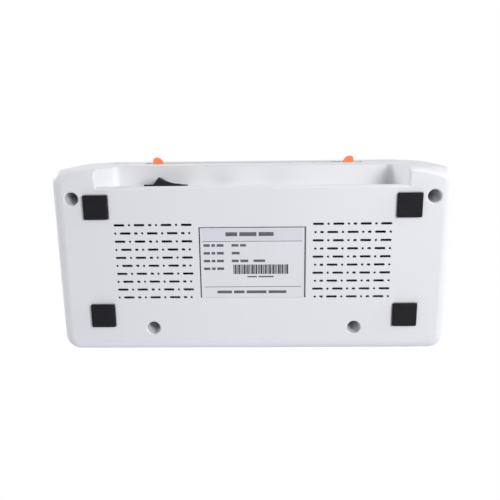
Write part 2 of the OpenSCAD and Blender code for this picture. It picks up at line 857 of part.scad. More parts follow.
module platen_bushes() {
    color(nylon_c)
        for (s = [0, 1])
            mirror([s, 0, 0])
                difference() {
                    union() {
                        rod_x(cheek_x0 - 0.8, cheek_x0, platen_y, platen_z, bush_r + 1);
                        rod_x(cheek_x0 - eps, cheek_x1, platen_y, platen_z, bush_r);
                    }
                    rod_x(0, half_w, platen_y, platen_z, shaft_d / 2 + run);
                }
}

// Involute gear outline with a tooth on the +X axis
function involute(a) = tan(a) * 180 / PI - a;
function flank_angle(r, base_r, half) = half + involute(pressure) - involute(acos(min(1, base_r / r)));

module gear_2d(teeth) {
    pitch_r = gear_m * teeth / 2;
    base_r = pitch_r * cos(pressure);
    tip_r = pitch_r + addendum;
    root_r = pitch_r - dedendum;
    half = 90 / teeth - backlash / 4 / pitch_r * 180 / PI;
    start_r = max(base_r, root_r);
    radii = [for (i = [0:4]) start_r + (tip_r - start_r) * i / 4];
    side = concat([[root_r, flank_angle(start_r, base_r, half)]],
        [for (r = radii) [r, flank_angle(r, base_r, half)]]);
    polygon([for (t = [0:teeth - 1]) each concat(
        [for (p = side) p[0] * [cos(360 * t / teeth - p[1]), sin(360 * t / teeth - p[1])]],
        [for (i = [len(side) - 1:-1:0]) let (p = side[i])
            p[0] * [cos(360 * t / teeth + p[1]), sin(360 * t / teeth + p[1])]])]);
}

// Gear about the X axis, with a tooth in the direction given in the Y-Z plane
module gear_x(teeth, x0, x1, y, z, direction) {
    along_x(x0, x1) translate([y, z]) rotate(direction) gear_2d(teeth);
}

module platen_gear() {
    color(nylon_c)
        difference() {
            gear_x(teeth_platen, gear_x0, gear_x0 + gear_w, platen_y, platen_z, idler_angle);
            rod_x(0, half_w, platen_y, platen_z, shaft_d / 2);
        }
}

module idler_gear() {
    color(nylon_c)
        difference() {
            union() {
                gear_x(teeth_small, gear_x0, gear_x0 + gear_w, idler_y, idler_z,
                    idler_angle + 180 + 180 / teeth_small);
                rod_x(gear_x0 + gear_w - eps, gear_x1 + eps, idler_y, idler_z, stud_r + 2);
                gear_x(teeth_large, gear_x1, gear_x2, idler_y, idler_z, motor_angle);
            }
            rod_x(0, half_w, idler_y, idler_z, stud_r + run);
        }
}

module idler_stud() {
    color(steel_c) {
        rod_x(cheek_x1, gear_x2 + 1.2, idler_y, idler_z, stud_r);
        rod_x(gear_x2 + 0.2, gear_x2 + 0.8, idler_y, idler_z, stud_r + 1.6);
    }
}

module motor_pinion() {
    color([0.8, 0.65, 0.3])
        difference() {
            gear_x(teeth_motor, gear_x1, gear_x2, motor_y, motor_z, motor_angle + 180 + 180 / teeth_motor);
            rod_x(0, half_w, motor_y, motor_z, motor_shaft_r);
        }
}

module motor_shaft() {
    color(steel_c) rod_x(cheek_x1 - 14, gear_x2 + 0.4, motor_y, motor_z, motor_shaft_r);
}

// Square motor outline with clipped corners
module motor_2d(w, clip) {
    h = w / 2;
    polygon([[h, h - clip], [h - clip, h], [clip - h, h], [-h, h - clip], [-h, clip - h], [clip - h, -h],
        [h - clip, -h], [h, clip - h]]);
}

module stepper_motor() {
    cap = 6;
    color([0.3, 0.3, 0.32])
        difference() {
            union() {
                along_x(cheek_x1 - motor_l, cheek_x1 - motor_l + cap)
                    translate([motor_y, motor_z]) motor_2d(motor_w, 3);
                along_x(cheek_x1 - motor_l + cap - eps, cheek_x1 - cap + eps)
                    translate([motor_y, motor_z]) motor_2d(motor_w - 0.6, 5);
                along_x(cheek_x1 - cap, cheek_x1) translate([motor_y, motor_z]) motor_2d(motor_w, 3);
                rod_x(cheek_x1 - eps, cheek_x1 + gear_plate_t, motor_y, motor_z, motor_boss_r);
            }
            rod_x(cheek_x1 - 15, half_w, motor_y, motor_z, motor_shaft_r + run);
            for (p = motor_screws_at) rod_x(cheek_x1 - 5, half_w, p[0], p[1], screw_r + 0.05);
        }
}

// Screws that hold the gear plate to the motor and to the frame, as places in the Y-Z plane
motor_screws_at = [for (s = [-1, 1]) [motor_y + s * motor_bolt, motor_z + s * motor_bolt]];
gear_screws_at = [[platen_y - 7.2, platen_z - 9.5], [1.3, deck_z - deck_t / 2]];

module gear_plate() {
    low = motor_z - motor_w / 2 - 1;
    top = shelf_z - shelf_t - 0.6;
    front = platen_y - platen_r - 0.2;
    rear = motor_y + motor_w / 2 + 1.5;
    color(steel_c)
        difference() {
            along_x(cheek_x1, cheek_x1 + gear_plate_t)
                polygon([[front, top], [front, platen_z - 13], [motor_y - motor_w / 2, low], [rear, low],
                    [rear, top]]);
            rod_x(0, half_w, platen_y, platen_z, shaft_d / 2 + 0.6);
            rod_x(0, half_w, motor_y, motor_z, motor_boss_r + 0.1);
            rod_x(0, half_w, idler_y, idler_z, stud_r + seat);
            for (p = motor_screws_at) rod_x(0, half_w, p[0], p[1], screw_r + 0.15);
            for (p = gear_screws_at) rod_x(0, half_w, p[0], p[1], small_pass_r);
        }
}

module gear_screws() {
    face = cheek_x1 + gear_plate_t;
    color(steel_c) {
        for (p = motor_screws_at) {
            rod_x(face, face + screw_head_h, p[0], p[1], screw_head_r);
            rod_x(cheek_x1 - 4, face + eps, p[0], p[1], screw_r);
        }
        for (p = gear_screws_at) {
            rod_x(face, face + small_head_h, p[0], p[1], small_head_r);
            rod_x(cheek_x1 - 6, face + eps, p[0], p[1], small_r);
        }
    }
}

// Distance of a rack's middle line from the pinion axis: the front rack belongs to the guide at +X
rack_offset = guide_pitch_r + dedendum + rack_t / 2;
function rack_back(s) = pinion_y - s * rack_offset;

// Paper guide at +X for s = 1 and at -X for s = -1
module guide(s) {
    inner_x = guide_out_x - guide_lip_w;
    tip = [guide_lip_w - 2, 4];
    tip_round = [2, 1.6];
    y = rack_back(s);
    tip_x = guide_out_x - tip_round[0];
    outline = concat(
        [for (a = [180:-10:90]) [tip_x + tip[0] * cos(a), guide_tip_y - tip[1] + tip[1] * sin(a)]],
        [for (a = [75:-15:0])
            [tip_x + tip_round[0] * cos(a), guide_tip_y - tip_round[1] + tip_round[1] * sin(a)]]);
    fence_y = [guide_front_y, rear_y(guide_lip_z) + 0.3];
    corner = 3;
    mirror([s < 0 ? 1 : 0, 0, 0]) {
        translate([0, 0, guide_lip_z])
            linear_extrude(guide_lip_t)
                polygon(concat([[guide_out_x, guide_front_y], [inner_x, guide_front_y]], outline));
        along_x(guide_out_x - guide_wall, guide_out_x)
            polygon(concat([[fence_y[0], guide_lip_z], [fence_y[1], guide_lip_z]],
                arc(fence_y[1] - corner, guide_top_z - corner, corner, 0, 90),
                arc(fence_y[0] + corner, guide_top_z - corner, corner, 90, 180)));
        box([inner_x, y - rack_t / 2, rack_top - eps], [guide_out_x, y + rack_t / 2, guide_lip_z + eps]);
        translate([0, 0, rack_bottom]) linear_extrude(rack_h) rack_2d(s, y);
    }
}

// Rack whose teeth face the pinion, with a gap at X = 0
module rack_2d(s, y) {
    inner_x = -10;
    count = ceil((guide_in + 4) / guide_pitch);
    half = guide_pitch / 4 - backlash / 4;
    root_y = y + s * rack_t / 2;
    tip_y = pinion_y - s * (guide_pitch_r - addendum);
    tip_half = half - addendum * tan(pressure);
    root_half = half + dedendum * tan(pressure);
    low = min(y - s * rack_t / 2, root_y);
    translate([inner_x, low]) square([guide_out_x - inner_x, rack_t]);
    for (i = [-3:count]) {
        x = (i + 0.5) * guide_pitch;
        polygon([[x - root_half, root_y - s * eps], [x - tip_half, tip_y], [x + tip_half, tip_y],
            [x + root_half, root_y - s * eps]]);
    }
}

module left_guide() {
    color(orange_c) guide(-1);
}

module right_guide() {
    color(orange_c) guide(1);
}

module guide_pinion() {
    color(nylon_c)
        difference() {
            translate([0, pinion_y, rack_bottom]) linear_extrude(rack_h) rotate(-90) gear_2d(guide_teeth);
            rod_z(0, pinion_y, 0, deck_z, pinion_pin_r + run);
        }
}

module guide_keeper() {
    reach = rack_offset + rack_t / 2;
    color(steel_c)
        difference() {
            box([-keeper_half_x, pinion_y - reach, keeper_z],
                [keeper_half_x, pinion_y + reach, keeper_z + keeper_t]);
            for (s = [-1, 1]) rod_z(s * keeper_screw_x, pinion_y, 0, deck_z, small_pass_r);
        }
}

module keeper_screws() {
    color(steel_c)
        for (s = [-1, 1])
            screw_up(s * keeper_screw_x, pinion_y, keeper_z, small_r, small_head_r, small_head_h,
                keeper_t + 5);
}

// Release button at +X, with its latch arm that reaches up into the lid
module release_button() {
    head_x = half_w + release_out;
    y = [release_y - latch_w / 2, release_y + latch_w / 2];
    arm_x = latch_x - latch_t;
    flange_z = release_z + release_h / 2 + 2;
    along_x(flange_x - eps, head_x) translate([release_y, release_z]) button_2d();
    box([flange_x - flange_t, release_y - release_l / 2 - 2, release_z - release_h / 2 - 2],
        [flange_x, release_y + release_l / 2 + 2, flange_z]);
    box([arm_x, y[0], flange_z - 2.5], [flange_x - flange_t + eps, y[1], flange_z]);
    along_y(y[0], y[1])
        polygon([[arm_x, flange_z - 2.5], [latch_x, flange_z - 2.5], [latch_x, latch_z],
            [latch_x + latch_nose, latch_z], [latch_x + latch_nose, latch_z + 0.6], [latch_x, latch_top],
            [arm_x, latch_top]]);
}

// Outline of a release button with round corners
module button_2d() {
    r = 2;
    x = release_l / 2 - r;
    z = release_h / 2 - r;
    polygon(concat(arc(x, z, r, 0, 90), arc(-x, z, r, 90, 180), arc(-x, -z, r, 180, 270),
        arc(x, -z, r, 270, 360)));
}

module left_release() {
    color(orange_c) mirror([1, 0, 0]) release_button();
}

module right_release() {
    color(orange_c) release_button();
}

// Sleeve in the place of a hidden coil spring at +X
module release_spring() {
    difference() {
        rod_x(spring_x, flange_x - flange_t, release_y, spring_z, spring_r);
        rod_x(0, half_w, release_y, spring_z, spring_r - spring_wall);
    }
}

module left_release_spring() {
    color(steel_c) mirror([1, 0, 0]) release_spring();
}

module right_release_spring() {
    color(steel_c) release_spring();
}

module hinge_pins() {
    color(steel_c)
        for (s = [0, 1])
            mirror([s, 0, 0]) rod_x(knuckle_x0, knuckle_x1 + knuckle_w, hinge_y, hinge_z, hinge_pin_d / 2);
}

module top_cover() {
    arm_x = [lid_knuckle_x0, lid_knuckle_x0 + lid_knuckle_w];
    color(white_c)
        difference() {
            union() {
                difference() {
                    intersection() {
                        body_form(0);
                        above_seam();
                    }
                    body_form(wall);
                }
                intersection() {
                    body_form(wall / 2);
                    union() {
                        for (p = lid_posts_at) rod_z(p[0], p[1], frame_z + frame_t, body_h, lid_post_r);
                        for (x = panel_screws_x) rod_z(x, button_y, panel_z + panel_t, body_h, 3);
                        for (s = [-1, 1])
                            side_box(s, [latch_x + latch_nose + fit, half_w],
                                [release_y - catch_w / 2, release_y + catch_w / 2],
                                [latch_z - 0.4 - catch_h, latch_z - 0.4]);
                    }
                }
                for (s = [-1, 1]) {
                    side_box(s, arm_x, [hinge_y - 3, hinge_y + 0.4], [hinge_z, lid_rear_z + 8]);
                    mirror([s < 0 ? 1 : 0, 0, 0]) rod_x(arm_x[0], arm_x[1], hinge_y, hinge_z, knuckle_r);
                }
            }
            for (s = [0, 1])
                mirror([s, 0, 0])
                    rod_x(knuckle_x0, knuckle_x1 + knuckle_w, hinge_y, hinge_z, hinge_pin_d / 2 + run);
            box([-inlet_half, hinge_y - 6, 0], [inlet_half, body_d, inlet_top]);
            box([-exit_w / 2, -body_d, 0], [exit_w / 2, front_top_y - 8, exit_top]);
            rod_z(button_x, button_y, body_h - 2 * wall, body_h + 1, button_d / 2 + fit);
            rod_z(light_x, button_y, body_h - 2 * wall, body_h + 1, light_r + 0.1);
            for (p = lid_posts_at) rod_z(p[0], p[1], 0, frame_z + lid_screw_l + 2, lid_screw_r + 0.05);
            for (x = panel_screws_x) rod_z(x, button_y, 0, panel_z + panel_t + 4, small_hold_r);
        }
}

module lid_frame() {
    rib_pitch = 16;
    rib_y = [-10.7, 19.3];
    rib_z = deck_z + 2.5;
    rib_r = 4;
    color(dark_c)
        difference() {
            union() {
                intersection() {
                    body_form(wall + fit);
                    box([-half_w, -half_d, frame_z], [half_w, hinge_y - 3.5, frame_z + frame_t]);
                }
                for (s = [-1, 1])
                    side_box(s, [carrier_half + 1.5, carrier_half + 5], [pivot_y - 4, pivot_y + 4],
                        [pivot_z - 3.5, frame_z + eps]);
                for (i = [-3:3])
                    along_x(i * rib_pitch - 1, i * rib_pitch + 1)
                        polygon(concat([[rib_y[1], frame_z + eps], [rib_y[0], frame_z + eps]],
                            arc(rib_y[0] + rib_r, rib_z + rib_r, rib_r, 180, 270),
                            arc(rib_y[1] - rib_r, rib_z + rib_r, rib_r, 270, 360)));
                for (s = [-1, 1])
                    rod_z(s * head_spring_x, platen_y, frame_z - 2.5, frame_z + eps,
                        head_spring_r - head_spring_wall - 0.5);
            }
            rod_x(-half_w, half_w, pivot_y, pivot_z, pivot_r + seat);
            for (p = lid_posts_at) rod_z(p[0], p[1], 0, body_h, lid_screw_r + 0.35);
        }
}

module lid_screws() {
    color(steel_c)
        for (p = lid_posts_at)
            screw_up(p[0], p[1], frame_z, lid_screw_r, lid_screw_head_r, lid_screw_head_h, lid_screw_l);
}

// Saw-toothed steel strip inside the lip of the paper exit
module tear_bar() {
    pitch = 1.5;
    count = floor((exit_w - 6) / pitch);
    bar_half = count * pitch / 2;
    color(steel_c)
        translate([0, front_y(exit_top) + wall / cos(front_lean) + 0.05, exit_top])
            rotate([-front_lean, 0, 0])
                along_y(0, 0.8)
                    polygon(concat([[bar_half, 4.5], [-bar_half, 4.5]],
                        [for (i = [0:count - 1]) each [[-bar_half + i * pitch, -0.3],
                            [-bar_half + (i + 0.5) * pitch, -1.3]]], [[bar_half, -0.3]]));
}

module head_carrier() {
    ear_x = [carrier_half - 4, carrier_half];
    color([0.8, 0.81, 0.82])
        difference() {
            union() {
                box([-carrier_half, platen_y - 7.2, head_z + head_t],
                    [carrier_half, pivot_y - 3, carrier_top]);
                for (s = [-1, 1])
                    along_x(s < 0 ? -ear_x[1] : ear_x[0], s < 0 ? -ear_x[0] : ear_x[1])
                        polygon(concat([[pivot_y - 8, carrier_top - eps], [pivot_y - 4, head_z + head_t]],
                            arc(pivot_y, pivot_z, 3.5, -60, 140, 8)));
            }
            rod_x(-half_w, half_w, pivot_y, pivot_z, pivot_r + run);
        }
}

module print_head() {
    color([0.9, 0.88, 0.8])
        box([-carrier_half + 2, platen_y - 6.7, head_z],
            [carrier_half - 2, platen_y + 10.3, head_z + head_t]);
}

module head_pivot() {
    color(steel_c) rod_x(-carrier_half - 5, carrier_half + 5, pivot_y, pivot_z, pivot_r);
}

// Sleeves in the place of the two hidden pressure springs
module head_springs() {
    color(steel_c)
        for (s = [-1, 1])
            difference() {
                rod_z(s * head_spring_x, platen_y, carrier_top, frame_z, head_spring_r);
                rod_z(s * head_spring_x, platen_y, 0, body_h, head_spring_r - head_spring_wall);
            }
}

module gap_receiver() {
    color(black_c)
        translate([sensor_x, sensor_y, deck_z + receiver_lift])
            linear_extrude(frame_z - deck_z - receiver_lift) square(receiver_size, true);
}

module feed_button() {
    color([0.8, 0.8, 0.82]) {
        rod_z(button_x, button_y, button_z, body_h + button_proud, button_d / 2);
        rod_z(button_x, button_y, button_z, button_z + 1.5, button_d / 2 + button_flange);
        rod_z(button_x, button_y, button_z - 1, button_z + eps, 2);
    }
}

module status_light() {
    color([0.7, 0.85, 1]) {
        rod_z(light_x, button_y, panel_z + panel_t + 1.2, body_h + 0.2, light_r);
        rod_z(light_x, button_y, body_h - wall - 1.5, body_h - wall, light_r + 1);
    }
}

module button_board() {
    tact_top = button_z - 1 - button_travel - 0.1;
    color(board_c)
        difference() {
            union() {
                box([panel_screws_x[0] - 3.5, button_y - 7, panel_z],
                    [panel_screws_x[1] + 3.5, button_y + 7, panel_z + panel_t]);
                box([button_x - 3, button_y - 3, panel_z + panel_t - eps],
                    [button_x + 3, button_y + 3, tact_top - 0.8]);
                rod_z(button_x, button_y, panel_z + panel_t, tact_top, 1.7);
                box([light_x - 1.6, button_y - 0.8, panel_z + panel_t - eps],
                    [light_x + 1.6, button_y + 0.8, panel_z + panel_t + 0.9]);
            }
            for (x = panel_screws_x) rod_z(x, button_y, 0, body_h, small_pass_r);
        }
}

module button_screws() {
    color(steel_c)
        for (x = panel_screws_x)
            screw_up(x, button_y, panel_z, small_r, small_head_r, small_head_h, panel_t + 3.5);
}

bottom_case();
rating_plate();
rubber_feet();
case_screws();
main_board();
board_components();
board_screws();
usb_socket();
power_socket();
switch_body();
switch_rocker();
mid_frame();
gap_sensor();
platen_shaft();
platen_roller();
platen_bushes();
platen_gear();
idler_gear();
idler_stud();
motor_pinion();
motor_shaft();
stepper_motor();
gear_plate();
gear_screws();
left_guide();
right_guide();
guide_pinion();
guide_keeper();
keeper_screws();
left_release();
right_release();
left_release_spring();
right_release_spring();
hinge_pins();
top_cover();
lid_frame();
lid_screws();
tear_bar();
head_carrier();
print_head();
head_pivot();
head_springs();
gap_receiver();
feed_button();
status_light();
button_board();
button_screws();
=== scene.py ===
import math

import bmesh
import bpy
from mathutils import Matrix, Vector


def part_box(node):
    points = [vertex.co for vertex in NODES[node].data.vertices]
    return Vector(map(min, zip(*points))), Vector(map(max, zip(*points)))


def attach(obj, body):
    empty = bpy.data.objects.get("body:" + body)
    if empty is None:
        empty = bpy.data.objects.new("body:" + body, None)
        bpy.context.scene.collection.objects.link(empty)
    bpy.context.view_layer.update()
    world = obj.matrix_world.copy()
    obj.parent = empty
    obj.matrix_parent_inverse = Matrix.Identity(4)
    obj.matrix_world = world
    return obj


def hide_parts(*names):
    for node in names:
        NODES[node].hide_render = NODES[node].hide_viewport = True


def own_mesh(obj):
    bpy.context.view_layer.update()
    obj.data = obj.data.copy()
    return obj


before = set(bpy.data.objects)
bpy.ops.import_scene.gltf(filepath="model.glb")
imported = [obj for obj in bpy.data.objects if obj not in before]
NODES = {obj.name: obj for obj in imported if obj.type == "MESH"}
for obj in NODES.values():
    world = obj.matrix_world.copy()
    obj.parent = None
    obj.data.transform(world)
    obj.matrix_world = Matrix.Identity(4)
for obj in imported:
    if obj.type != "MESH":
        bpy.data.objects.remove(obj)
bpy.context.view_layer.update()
MM = 0.001


# Camera: from below and a little behind, as in the photograph


def make_camera():
    place = Vector((-7.28, 96.1, -324.8)) * MM
    right = Vector((-0.9997, -0.0130, 0.0225))
    up = Vector((-0.0067, 0.9648, 0.2628))
    forward = Vector((0.0251, -0.2625, 0.9646))
    data = bpy.data.cameras.new("camera")
    data.lens = 46.8
    data.sensor_width = 36.0
    data.clip_start = 0.01
    camera = bpy.data.objects.new("camera", data)
    turn = Matrix((right, up, -forward)).transposed().to_4x4()
    camera.matrix_world = Matrix.Translation(place) @ turn
    bpy.context.scene.collection.objects.link(camera)
    bpy.context.scene.camera = camera


make_camera()


# Materials

NOISE_LOW, NOISE_HIGH = 0.3, 0.7  # most of a noise lies between these
ROUGH_FINENESS = 9.0  # how much finer the roughness drifts than the colour
COAT_ROUGHNESS = 0.22
BEVEL_SAMPLES = 6


def start_material(name):
    material = bpy.data.materials.new(name)
    material.use_nodes = True
    tree = material.node_tree
    tree.nodes.clear()
    output = tree.nodes.new("ShaderNodeOutputMaterial")
    shader = tree.nodes.new("ShaderNodeBsdfPrincipled")
    tree.links.new(shader.outputs["BSDF"], output.inputs["Surface"])
    return material, tree, shader


def noise(tree, scale, detail=2.0, stretch=(1.0, 1.0, 1.0)):
    """Noise over the piece's own coordinates, in cycles per metre."""
    place = tree.nodes.new("ShaderNodeTexCoord")
    mapping = tree.nodes.new("ShaderNodeMapping")
    mapping.inputs["Scale"].default_value = stretch
    texture = tree.nodes.new("ShaderNodeTexNoise")
    texture.inputs["Scale"].default_value = scale
    texture.inputs["Detail"].default_value = detail
    tree.links.new(place.outputs["Object"], mapping.inputs["Vector"])
    tree.links.new(mapping.outputs["Vector"], texture.inputs["Vector"])
    return texture.outputs["Fac"]


def spread(tree, socket, low, high):
    """Takes a noise to the range from low to high."""
    node = tree.nodes.new("ShaderNodeMapRange")
    node.inputs["From Min"].default_value = NOISE_LOW
    node.inputs["From Max"].default_value = NOISE_HIGH
    node.inputs["To Min"].default_value = low
    node.inputs["To Max"].default_value = high
    tree.links.new(socket, node.inputs["Value"])
    return node.outputs["Result"]


def blend_colours(tree, socket, first, second):
    node = tree.nodes.new("ShaderNodeMix")
    node.data_type = "RGBA"
    node.inputs["A"].default_value = (*first, 1.0)
    node.inputs["B"].default_value = (*second, 1.0)
    tree.links.new(socket, node.inputs["Factor"])
    return node.outputs["Result"]


def bump(tree, shader, socket, strength, depth, edge=0.0):
    """Fine bump, over edges that are shaded as rounds of radius edge."""
    node = tree.nodes.new("ShaderNodeBump")
    if edge:
        rounded = tree.nodes.new("ShaderNodeBevel")
        rounded.samples = BEVEL_SAMPLES
        rounded.inputs["Radius"].default_value = edge
        tree.links.new(rounded.outputs["Normal"], node.inputs["Normal"])
    node.inputs["Strength"].default_value = strength
    node.inputs["Distance"].default_value = depth
    tree.links.new(socket, node.inputs["Height"])
    tree.links.new(node.outputs["Normal"], shader.inputs["Normal"])


def surface(name, colour, rough, vary=0.04, patch=30.0, grain=1500.0, grain_strength=0.08,
            depth=0.05 * MM, metallic=0.0, coat=0.0, stretch=(1.0, 1.0, 1.0), subsurface=0.0,
            specular=0.5, edge=0.0):
    """Colour that drifts in patches, roughness that drifts finer, and a fine bump."""
    material, tree, shader = start_material(name)
    dark = tuple(c * (1.0 - vary) for c in colour)
    light = tuple(min(1.0, c * (1.0 + vary)) for c in colour)
    drift = spread(tree, noise(tree, patch, 3.0), 0.0, 1.0)
    tree.links.new(blend_colours(tree, drift, dark, light), shader.inputs["Base Color"])
    fine = noise(tree, patch * ROUGH_FINENESS, 3.0, stretch)
    tree.links.new(spread(tree, fine, *rough), shader.inputs["Roughness"])
    bump(tree, shader, noise(tree, grain, 2.0, stretch), grain_strength, depth, edge)
    shader.inputs["Metallic"].default_value = metallic
    shader.inputs["Specular IOR Level"].default_value = specular
    if coat:
        shader.inputs["Coat Weight"].default_value = coat
        shader.inputs["Coat Roughness"].default_value = COAT_ROUGHNESS
    if subsurface:
        shader.inputs["Subsurface Weight"].default_value = subsurface
        shader.inputs["Subsurface Radius"].default_value = (1.0, 0.4, 0.2)
        shader.inputs["Subsurface Scale"].default_value = 1.0 * MM
    return material


def board_surface(name):
    """Solder resist with the copper runs under it showing as a paler green."""
    material, tree, shader = start_material(name)
    place = tree.nodes.new("ShaderNodeTexCoord")
    runs = tree.nodes.new("ShaderNodeTexBrick")
    runs.inputs["Scale"].default_value = 260.0
    runs.inputs["Mortar Size"].default_value = 0.09
    runs.inputs["Color1"].default_value = (0.012, 0.065, 0.032, 1.0)
    runs.inputs["Color2"].default_value = (0.015, 0.078, 0.038, 1.0)
    runs.inputs["Mortar"].default_value = (0.025, 0.13, 0.06, 1.0)
    tree.links.new(place.outputs["Object"], runs.inputs["Vector"])
    tree.links.new(runs.outputs["Color"], shader.inputs["Base Color"])
    tree.links.new(spread(tree, noise(tree, 400.0), 0.3, 0.42), shader.inputs["Roughness"])
    bump(tree, shader, runs.outputs["Fac"], 0.15, 0.05 * MM)
    return material


CASE = surface(
    "case_plastic", (0.8, 0.802, 0.825), (0.38, 0.48), vary=0.012, patch=14.0, grain=2600.0,
    grain_strength=0.05, depth=0.04 * MM, edge=0.6 * MM)
FRAME = surface(
    "frame_plastic", (0.05, 0.05, 0.055), (0.46, 0.58), vary=0.08, grain=1800.0,
    grain_strength=0.15)
ORANGE = surface(
    "orange_plastic", (0.95, 0.235, 0.075), (0.28, 0.38), patch=60.0, grain=2200.0,
    grain_strength=0.06, coat=0.15, subsurface=0.12)
BLACK = surface(
    "black_plastic", (0.008, 0.008, 0.01), (0.3, 0.42), vary=0.12, patch=80.0, grain=2400.0,
    specular=0.25)
FOOT = surface(
    "foot_rubber", (0.011, 0.011, 0.013), (0.6, 0.78), vary=0.2, patch=160.0, grain=2600.0,
    grain_strength=0.3, depth=0.06 * MM, specular=0.14)
PLATEN = surface(
    "platen_rubber", (0.025, 0.025, 0.028), (0.55, 0.7), vary=0.15, patch=120.0, grain=1600.0,
    grain_strength=0.2, stretch=(3.0, 1.0, 1.0))
STEEL = surface(
    "steel", (0.56, 0.57, 0.59), (0.24, 0.4), vary=0.06, patch=90.0, grain=1400.0,
    metallic=1.0, stretch=(1.0, 6.0, 1.0))
ALUMINIUM = surface(
    "aluminium", (0.72, 0.73, 0.74), (0.3, 0.45), vary=0.05, patch=70.0, grain=1200.0,
    grain_strength=0.1, metallic=1.0, stretch=(0.4, 5.0, 5.0))
CERAMIC = surface(
    "ceramic", (0.78, 0.76, 0.68), (0.15, 0.25), vary=0.03, grain=1800.0, grain_strength=0.03)
NYLON = surface(
    "nylon", (0.74, 0.72, 0.64), (0.4, 0.55), grain=1900.0, subsurface=0.15)
BRASS = surface(
    "brass", (0.72, 0.5, 0.17), (0.25, 0.38), vary=0.06, patch=120.0, metallic=1.0)
MOTOR = surface(
    "motor_case", (0.03, 0.03, 0.033), (0.35, 0.5), vary=0.15, patch=60.0)
BUTTON = surface(
    "button_plastic", (0.62, 0.63, 0.66), (0.32, 0.42), vary=0.02, patch=60.0, grain=2400.0,
    grain_strength=0.05)
LIGHT_PIPE = surface(
    "light_pipe", (0.5, 0.72, 0.92), (0.12, 0.2), patch=200.0, grain_strength=0.03, coat=0.3)
LABEL = surface(
    "label_film", (0.765, 0.77, 0.8), (0.36, 0.5), vary=0.02, patch=50.0, grain=1800.0,
    grain_strength=0.05, depth=0.02 * MM, stretch=(0.3, 4.0, 1.0))
LABEL_BAND = surface(
    "label_band", (0.7, 0.705, 0.765), (0.36, 0.5), vary=0.03, patch=50.0, grain=1800.0,
    grain_strength=0.05, depth=0.02 * MM, stretch=(0.3, 4.0, 1.0))
INK = surface(
    "label_ink", (0.03, 0.03, 0.034), (0.45, 0.6), vary=0.2, patch=300.0, grain=2500.0,
    grain_strength=0.05, depth=0.02 * MM)
GREY_INK = surface(
    "label_grey_ink", (0.1, 0.1, 0.11), (0.45, 0.6), vary=0.15, patch=300.0, grain=2500.0,
    grain_strength=0.05, depth=0.02 * MM)
GLAZE = surface(
    "heater_glaze", (0.12, 0.1, 0.085), (0.1, 0.18), vary=0.06, patch=120.0,
    grain_strength=0.03)
BOARD = board_surface("board")

NODE_MATERIALS = {
    CASE: ["bottom_case", "top_cover"],
    FRAME: ["mid_frame", "lid_frame"],
    ORANGE: ["left_guide", "right_guide", "left_release", "right_release"],
    BLACK: ["board_components", "power_socket", "switch_body", "switch_rocker", "gap_sensor",
            "gap_receiver"],
    FOOT: ["rubber_feet"],
    PLATEN: ["platen_roller"],
    STEEL: ["board_screws", "usb_socket", "platen_shaft", "idler_stud", "motor_shaft",
            "gear_plate", "gear_screws", "guide_keeper", "keeper_screws", "hinge_pins",
            "lid_screws", "tear_bar", "head_pivot", "button_screws"],
    ALUMINIUM: ["head_carrier"],
    CERAMIC: ["print_head"],
    NYLON: ["platen_bushes", "platen_gear", "idler_gear", "guide_pinion"],
    BRASS: ["motor_pinion"],
    MOTOR: ["stepper_motor"],
    BUTTON: ["feed_button"],
    LIGHT_PIPE: ["status_light"],
    BOARD: ["main_board", "button_board"],
}
for material, names in NODE_MATERIALS.items():
    for name in names:
        node = NODES[name]
        if not node.material_slots:
            node.data.materials.append(material)
        for slot in node.material_slots:
            slot.link = "OBJECT"
            slot.material = material


# Small rounds on the edges of the CAD nodes, and smooth shading of the rounded shells

WELD_GAP = 0.002 * MM
FLAT_ANGLE = math.radians(0.5)
ROUND_ANGLE = math.radians(30.0)
ROUND_SEGMENTS = 3
SHELL_ANGLE = math.radians(22.0)
ROUND_WIDTHS_MM = {
    "rubber_feet": 0.7, "switch_body": 0.35, "switch_rocker": 0.4, "left_guide": 0.45,
    "right_guide": 0.45, "left_release": 0.5, "right_release": 0.5, "power_socket": 0.25,
    "usb_socket": 0.15, "head_carrier": 0.3, "stepper_motor": 0.3,
}
SHELLS = ("bottom_case", "top_cover", "mid_frame", "lid_frame")


def weld(node):
    node.modifiers.new("weld", "WELD").merge_threshold = WELD_GAP


def soften(node, width):
    weld(node)
    flat = node.modifiers.new("flat", "DECIMATE")
    flat.decimate_type = "DISSOLVE"
    flat.angle_limit = FLAT_ANGLE
    bevel = node.modifiers.new("edges", "BEVEL")
    bevel.width = width
    bevel.segments = ROUND_SEGMENTS
    bevel.limit_method = "ANGLE"
    bevel.angle_limit = ROUND_ANGLE
    node.modifiers.new("normals", "WEIGHTED_NORMAL")


def even_out(node):
    """Shades the facets of a rounded shell as one surface, up to its sharp edges."""
    weld(node)
    split = node.modifiers.new("split", "EDGE_SPLIT")
    split.split_angle = SHELL_ANGLE
    split.use_edge_sharp = False
    node.modifiers.new("normals", "WEIGHTED_NORMAL")


for name, width in ROUND_WIDTHS_MM.items():
    soften(NODES[name], width * MM)
for name in SHELLS:
    even_out(NODES[name])


# Pieces

END_TURN = 2.2  # height of a closed turn of a spring, in radii of its wire


def make_mesh(name, build):
    """Mesh made by a function that fills a bmesh."""
    mesh = bpy.data.meshes.new(name)
    bm = bmesh.new()
    build(bm)
    bmesh.ops.recalc_face_normals(bm, faces=bm.faces)
    bm.to_mesh(mesh)
    bm.free()
    return mesh


def add_object(name, mesh):
    made = bpy.data.objects.new(name, mesh)
    bpy.context.scene.collection.objects.link(made)
    return made


def add_piece(name, build, material, body):
    mesh = make_mesh(name, build)
    mesh.materials.append(material)
    piece = add_object(name, mesh)
    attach(piece, body)
    return piece


def smooth(piece, angle=35.0):
    for face in piece.data.polygons:
        face.use_smooth = True
    split = piece.modifiers.new("split", "EDGE_SPLIT")
    split.split_angle = math.radians(angle)


